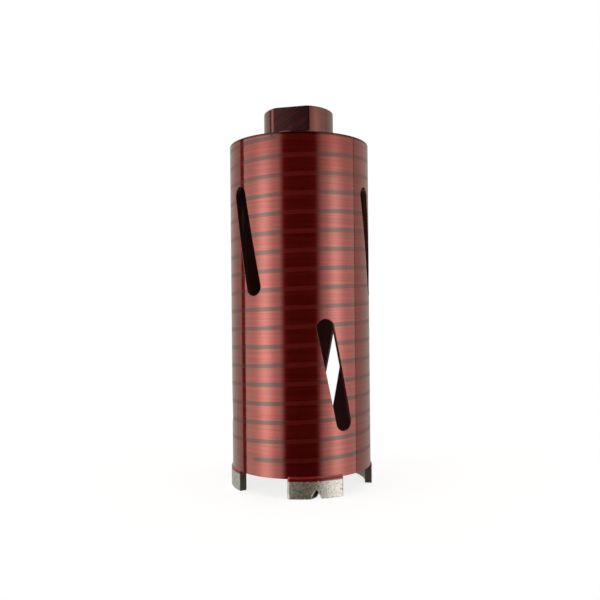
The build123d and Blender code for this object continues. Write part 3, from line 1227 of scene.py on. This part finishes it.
def segment_material(context):
    """Ground sintered metal full of small pits, with dark unground ends and lacquer above.

    The ground face has a random brown stain and mottle, laid on more strongly over its leading half as
    painted shade, and is darker inside the ring.
    The lacquer is darkened in a band round the rim's height as painted shade, and lightened on the
    crest of the shoulder as a painted highlight.
    """
    segment = context.scene.core_bit_segment
    finish = context.scene.core_bit_finish
    material, graph, shader = new_material("Sintered segment")
    radius, turn, height = graph.group(cylinder_place())
    lines, streaks = graph.group(brush_lines(), Fine=9000.0, Coarse=2600.0, Along=150.0)
    place = graph.place()
    rough_cast = graph.node("ShaderNodeAttribute", ("attribute_name", "rough_cast"))["Fac"]

    level = height + (graph.noise(place, 900.0, 4.0, 0.6) - 0.5) * (0.9 * MM)
    soft = 0.08 * MM
    painted = level.ease(segment.lacquer_edge - soft, segment.lacquer_edge + soft)
    splash = graph.noise(place, 2600.0, 2.0).ease(0.735, 0.76)
    painted = painted.larger(splash * height.ease(1.0 * MM, 6.0 * MM, 0.2, 1.0))
    # Painted highlight on the crest of the shoulder; below it, round the rim's height, a band of
    # painted shade whose coat is thinned too.
    crest = level.ease(RIM_HEIGHT + 0.1 * MM, RIM_HEIGHT + 0.4 * MM)
    painted_shade_band = level.ease(RIM_HEIGHT - 0.6 * MM, RIM_HEIGHT - 0.3 * MM) * (1.0 - crest)

    distance, chance, _, _ = graph.cells(1150.0)
    shaped = distance + graph.noise(place, 3000.0) * 0.25
    wanted = chance + graph.noise(place, 240.0, 2.0) * 0.7
    pit = shaped.ease(0.30, 0.46, 1.0, 0.0) * wanted.ease(0.78, 0.86)
    grain = graph.noise(place, 4200.0, 4.0, 0.7)

    passed = graph.math("FRACT", (turn - segment.azimuth / TURN) * segment.count + 0.5) - 0.5
    # One on the leading half; there the stain and the mottle are laid on more strongly, which is
    # painted shade.
    leading = passed.ease(-0.03, 0.07, 1.0, 0.0)
    first_end = passed.ease(-0.22, -0.18, 0.6, 0.0)
    inner = radius.ease(BORE_RADIUS - 0.4 * MM, BORE_RADIUS + 0.2 * MM, 1.0, 0.0)
    tone = graph.noise(place, 520.0, 5.0, 0.7, 1.2) * 0.65 + streaks * 0.35
    stain_and_painted_shade = tone.ease(0.38, 0.64, 1.0, 0.35) * leading.ease(0.0, 1.0, 0.22, 1.0)
    mottle_and_painted_shade = graph.noise(place, 1000.0, 4.0, 0.7).ease(0.42, 0.60, 0.0, 0.70)
    mottle_and_painted_shade = mottle_and_painted_shade * leading.ease(0.0, 1.0, 0.45, 1.0)
    ground = graph.layers(
        finish.sinter, (stain_and_painted_shade, finish.stain), (mottle_and_painted_shade, shade(finish.stain, 0.45)),
        (inner * 0.75, shade(finish.stain, 0.22)), (pit * 0.85, shade(finish.sinter_dark, 0.5)),
    )
    striation = graph.noise(graph.join(radius * 3600.0, 0.0, height * 260.0), 1.0, 3.0, 0.6)
    unground = graph.layers(
        shade(finish.sinter_dark, 0.45), (striation * 0.75, finish.sinter_dark),
        (first_end, shade(finish.sinter_dark, 2.6)),
    )
    # The crest's layer is a painted highlight and the band's a painted shade.
    lacquer = graph.layers(
        finish.lacquer, (streaks * 0.5, finish.lacquer_thin),
        (crest, shade(finish.lacquer_thin, 1.5)), (painted_shade_band * 0.75, shade(finish.lacquer, 0.55)),
    )
    relief = 1.0 - pit * 0.7 + grain * 0.18 + lines * 0.10 + painted * 0.5
    graph.fill(
        shader,
        Base_Color=graph.mix(painted, graph.mix(rough_cast, ground, unground), lacquer),
        Metallic=(0.68 - pit.larger(rough_cast) * 0.35 - painted * 0.40).clamped(),
        Roughness=0.30 + grain * 0.12 + rough_cast * 0.15 - painted * 0.12,
        Coat_Weight=painted * (0.8 - painted_shade_band * 0.65),
        Coat_Roughness=COAT_ROUGHNESS,
        Coat_IOR=finish.coat_ior,
        Normal=graph.bump(relief, 0.8, 0.08 * MM),
    )
    return material


# ---------------------------------------------------------------- stage

WHITE = (1.0, 1.0, 1.0)
WARM_WHITE = (1.0, 0.95, 0.81)
CARD_COLUMNS = 48                   # points along a bent card
DISC_COLUMNS, DISC_ROWS = 97, 12    # points round a disc and from its middle to its edge
CARD_LOW, CARD_HIGH = -1.2, 1.4
HOT_HEIGHT, HOT_RISE = 0.08, 0.55   # middle and spread of the hot spot, upwards
FLAG_EDGE = math.radians(20)        # half the width of the black flag behind the camera
BACK = math.pi - 0.01               # azimuth at which the two backdrops meet


def card_material(name, glow):
    """Emission of a card; its glow is a number, or a function from a graph to a Value."""
    material = bpy.data.materials.new(name)
    material.use_nodes = True
    material.node_tree.nodes.clear()
    graph = Graph(material.node_tree)
    strength = glow(graph) if callable(glow) else glow
    emission = graph.node("ShaderNodeEmission", Color=WARM_WHITE, Strength=strength)
    graph.node("ShaderNodeOutputMaterial", Surface=emission["Emission"])
    return material


def arc_card(name, start, stop, radius, material):
    """Upright card bent round the axis: azimuth along, height up, facing the axis."""
    turn = np.linspace(start, stop, CARD_COLUMNS)
    shell = Shell()
    points = polar(radius, turn, np.array([[CARD_LOW], [CARD_HIGH]]))
    shell.add(points, polar(-1.0, turn, np.zeros((2, 1))))
    return shell.make(name, [material])


def disc(name, radius, level, material, upward=1.0):
    """Flat disc: radius by azimuth, at one level, facing up or down."""
    turn = np.linspace(0.0, TURN, DISC_COLUMNS)
    ring = np.linspace(0.0, radius, DISC_ROWS)[:, None]
    shell = Shell()
    shell.add(polar(ring, turn, level), upward * UPWARDS, flip=upward < 0)
    return shell.make(name, [material])


def hide_from(card, *rays):
    """Hides a stage piece from kinds of ray."""
    for ray in rays:
        setattr(card, f"visible_{ray}", False)


def build_world():
    """World: white to the camera and in reflections, a plain soft fill for everything else."""
    world = bpy.data.worlds.new("Studio")
    bpy.context.scene.world = world
    world.use_nodes = True
    world.node_tree.nodes.clear()
    graph = Graph(world.node_tree)
    strength = graph.seen() * 0.15 + 0.85
    background = graph.node("ShaderNodeBackground", Color=WHITE, Strength=strength)
    graph.node("ShaderNodeOutputWorld", Surface=background["Background"])


def table_material():
    """Pale diffuse table with its shadows, brought up to white for the rays of seen()."""
    material, graph, shader = new_material("Table")
    graph.fill(
        shader,
        Base_Color=shade(WHITE, 0.34),
        Roughness=0.7,
        Specular_IOR_Level=0.0,
        Emission_Color=WHITE,
        Emission_Strength=graph.seen() * 0.81,
    )
    return material


def side_glow(stage, side, glow, peak, edge_start, edge_stop, dimming):
    """Strength of a side soft box, as a function for card_material.

    It is an even glow that dims upwards, plus a bell round the hot spot, with a soft inner edge.
    """
    def nodes(graph):
        _, turn, height = graph.group(cylinder_place())
        azimuth = turn * (TURN * side)
        off = (azimuth - stage.hot_azimuth) / stage.hot_width
        lift = (height - HOT_HEIGHT) / HOT_RISE
        bell = graph.math("EXPONENT", (off * off + lift * lift) * -0.7)
        bell = bell * height.ease(0.30, 0.50, 1.0, 0.25)
        total = glow * height.ease(0.1, 0.55, 1.0, dimming) + bell * peak
        total = total * height.ease(0.30, 0.48, 1.0, 0.82)
        opened = azimuth.ease(edge_start, edge_stop, 0.0, 0.84)
        return total * (opened + azimuth.ease(edge_stop, edge_stop + 0.30, 0.0, 0.16))
    return nodes


def build_cards(stage):
    """Ring of soft boxes, a black flag behind the camera, dark seams and a grey backdrop."""
    def falling(graph):
        _, turn, _ = graph.group(cylinder_place())
        fall_start, fall_stop = math.radians(120), math.radians(160)
        return (turn * TURN).ease(fall_start, fall_stop, stage.backdrop_glow, stage.backdrop_fall)

    black = card_material("Black flag", 0.0)
    left = card_material("Left soft box", side_glow(
        stage, -1.0, stage.left_glow, stage.left_peak, math.radians(23.5), math.radians(36), 0.95
    ))
    right = card_material("Right soft box", side_glow(
        stage, 1.0, stage.right_glow, stage.right_peak, math.radians(24), math.radians(40), 0.65
    ))
    grey = card_material("Backdrop", stage.backdrop_glow)
    dim = card_material("Backdrop right", falling)
    seam = -stage.seam_start
    dark = seam - stage.seam_width
    slit = stage.box_end + stage.slit_width
    cards = [
        arc_card(name, start, stop, stage.wall_radius, material)
        for name, start, stop, material in (
            ("front_flag", -FLAG_EDGE, FLAG_EDGE, black),
            ("left_soft_box", seam, -FLAG_EDGE, left),
            ("right_soft_box", FLAG_EDGE, stage.box_end, right),
            ("left_seam", dark, seam, black),
            ("right_seam", stage.box_end, slit, black),
            ("right_backdrop", slit, BACK, dim),
            ("left_backdrop", BACK, TURN + dark, grey),
        )
    ]
    ceiling_material = card_material("Dim ceiling", stage.ceiling_glow)
    ceiling = disc("ceiling", stage.wall_radius, CARD_HIGH, ceiling_material, -1.0)
    hide_from(ceiling, "diffuse", "transmission")
    for card in (*cards, ceiling):
        hide_from(card, "camera", "shadow")


def build_camera(stage):
    """Level camera in front, rolled a little, with a slight shift."""
    data = bpy.data.cameras.new("Camera")
    data.lens = stage.lens
    data.sensor_width = 36.0
    data.shift_x = stage.shift_x
    data.shift_y = stage.shift_y
    data.clip_start = 0.01
    data.clip_end = 20.0
    camera = bpy.data.objects.new("Camera", data)
    bpy.context.scene.collection.objects.link(camera)
    camera.location = (0.0, -stage.distance, stage.height)
    camera.rotation_mode = "QUATERNION"
    level, rolled = Quaternion((1, 0, 0), math.pi / 2), Quaternion((0, 0, 1), -stage.roll)
    camera.rotation_quaternion = level @ rolled
    bpy.context.scene.camera = camera


# ---------------------------------------------------------------- operators

def finish_piece(piece, node):
    """Puts a piece on the body, in place of its CAD node."""
    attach(piece, BODY)
    if node:
        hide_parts(node)


class CORE_BIT_OT_tube(bpy.types.Operator):
    """Build the slotted tube with its lacquer and wound band"""
    bl_idname = "core_bit.tube"
    bl_label = "Slotted Tube"

    def execute(self, context):
        piece = tube_surface(context.scene.core_bit_tube, [tube_material(context)])
        finish_piece(piece, "barrel")
        return {"FINISHED"}


class CORE_BIT_OT_end_plate(bpy.types.Operator):
    """Build the end plate that is welded into the top of the tube"""
    bl_idname = "core_bit.end_plate"
    bl_label = "End Plate"

    def execute(self, context):
        piece = plate_surface(context.scene.core_bit_hub, [plate_material(context)])
        finish_piece(piece, "end_plate")
        return {"FINISHED"}


class CORE_BIT_OT_hub(bpy.types.Operator):
    """Build the hub with its spanner flats and the weld at its foot"""
    bl_idname = "core_bit.hub"
    bl_label = "Hub"

    def execute(self, context):
        piece = hub_surface(context.scene.core_bit_hub, [hub_material(context)])
        finish_piece(piece, "hub")
        return {"FINISHED"}


class CORE_BIT_OT_thread(bpy.types.Operator):
    """Build the female thread in the bore of the hub"""
    bl_idname = "core_bit.thread"
    bl_label = "Thread"

    def execute(self, context):
        piece = thread_surface(context.scene.core_bit_hub, [thread_material(context)])
        finish_piece(piece, None)
        return {"FINISHED"}


class CORE_BIT_OT_segments(bpy.types.Operator):
    """Build the diamond segments round the rim"""
    bl_idname = "core_bit.segments"
    bl_label = "Diamond Segments"

    def execute(self, context):
        segment = context.scene.core_bit_segment
        material = segment_material(context)
        for index in range(segment.count):
            piece = segment_surface(segment, index, [material])
            finish_piece(piece, f"segment_{index + 1}")
        return {"FINISHED"}


class CORE_BIT_OT_stage(bpy.types.Operator):
    """Set up the camera, the table, the soft boxes and the world"""
    bl_idname = "core_bit.stage"
    bl_label = "Stage"

    def execute(self, context):
        stage = context.scene.core_bit_stage
        context.scene.view_settings.view_transform = "Standard"
        build_camera(stage)
        build_world()
        build_cards(stage)
        table = disc("table", stage.table_radius, 0.0, table_material())
        hide_from(table, "glossy")
        return {"FINISHED"}


class CORE_BIT_PT_panel(bpy.types.Panel):
    """Sizes, finishes and steps of the core bit"""
    bl_idname = "CORE_BIT_PT_panel"
    bl_label = "Core Bit"
    bl_space_type = "VIEW_3D"
    bl_region_type = "UI"
    bl_category = "Core Bit"

    def draw(self, context):
        layout = self.layout
        layout.use_property_split = True
        for group, operators in PANEL_ROWS:
            box = layout.box()
            settings = getattr(context.scene, group)
            for key in settings.__annotations__:
                box.prop(settings, key)
            for operator in operators:
                box.operator(operator)


PANEL_ROWS = (
    ("core_bit_tube", ("core_bit.tube",)),
    ("core_bit_hub", ("core_bit.hub", "core_bit.thread", "core_bit.end_plate")),
    ("core_bit_segment", ("core_bit.segments",)),
    ("core_bit_finish", ()),
    ("core_bit_stage", ("core_bit.stage",)),
)

GROUPS = {
    "core_bit_tube": CoreBitTube,
    "core_bit_hub": CoreBitHub,
    "core_bit_segment": CoreBitSegment,
    "core_bit_finish": CoreBitFinish,
    "core_bit_stage": CoreBitStage,
}

CLASSES = (
    *GROUPS.values(),
    CORE_BIT_OT_tube,
    CORE_BIT_OT_end_plate,
    CORE_BIT_OT_hub,
    CORE_BIT_OT_thread,
    CORE_BIT_OT_segments,
    CORE_BIT_OT_stage,
    CORE_BIT_PT_panel,
)


def register():
    for kind in CLASSES:
        bpy.utils.register_class(kind)
    for name, group in GROUPS.items():
        setattr(bpy.types.Scene, name, bpy.props.PointerProperty(type=group))


def unregister():
    for name in GROUPS:
        delattr(bpy.types.Scene, name)
    for kind in reversed(CLASSES):
        bpy.utils.unregister_class(kind)


def main():
    register()
    bpy.ops.core_bit.stage()
    bpy.ops.core_bit.tube()
    bpy.ops.core_bit.end_plate()
    bpy.ops.core_bit.hub()
    bpy.ops.core_bit.thread()
    bpy.ops.core_bit.segments()
    bpy.context.view_layer.update()


if __name__ == "__main__":
    main()
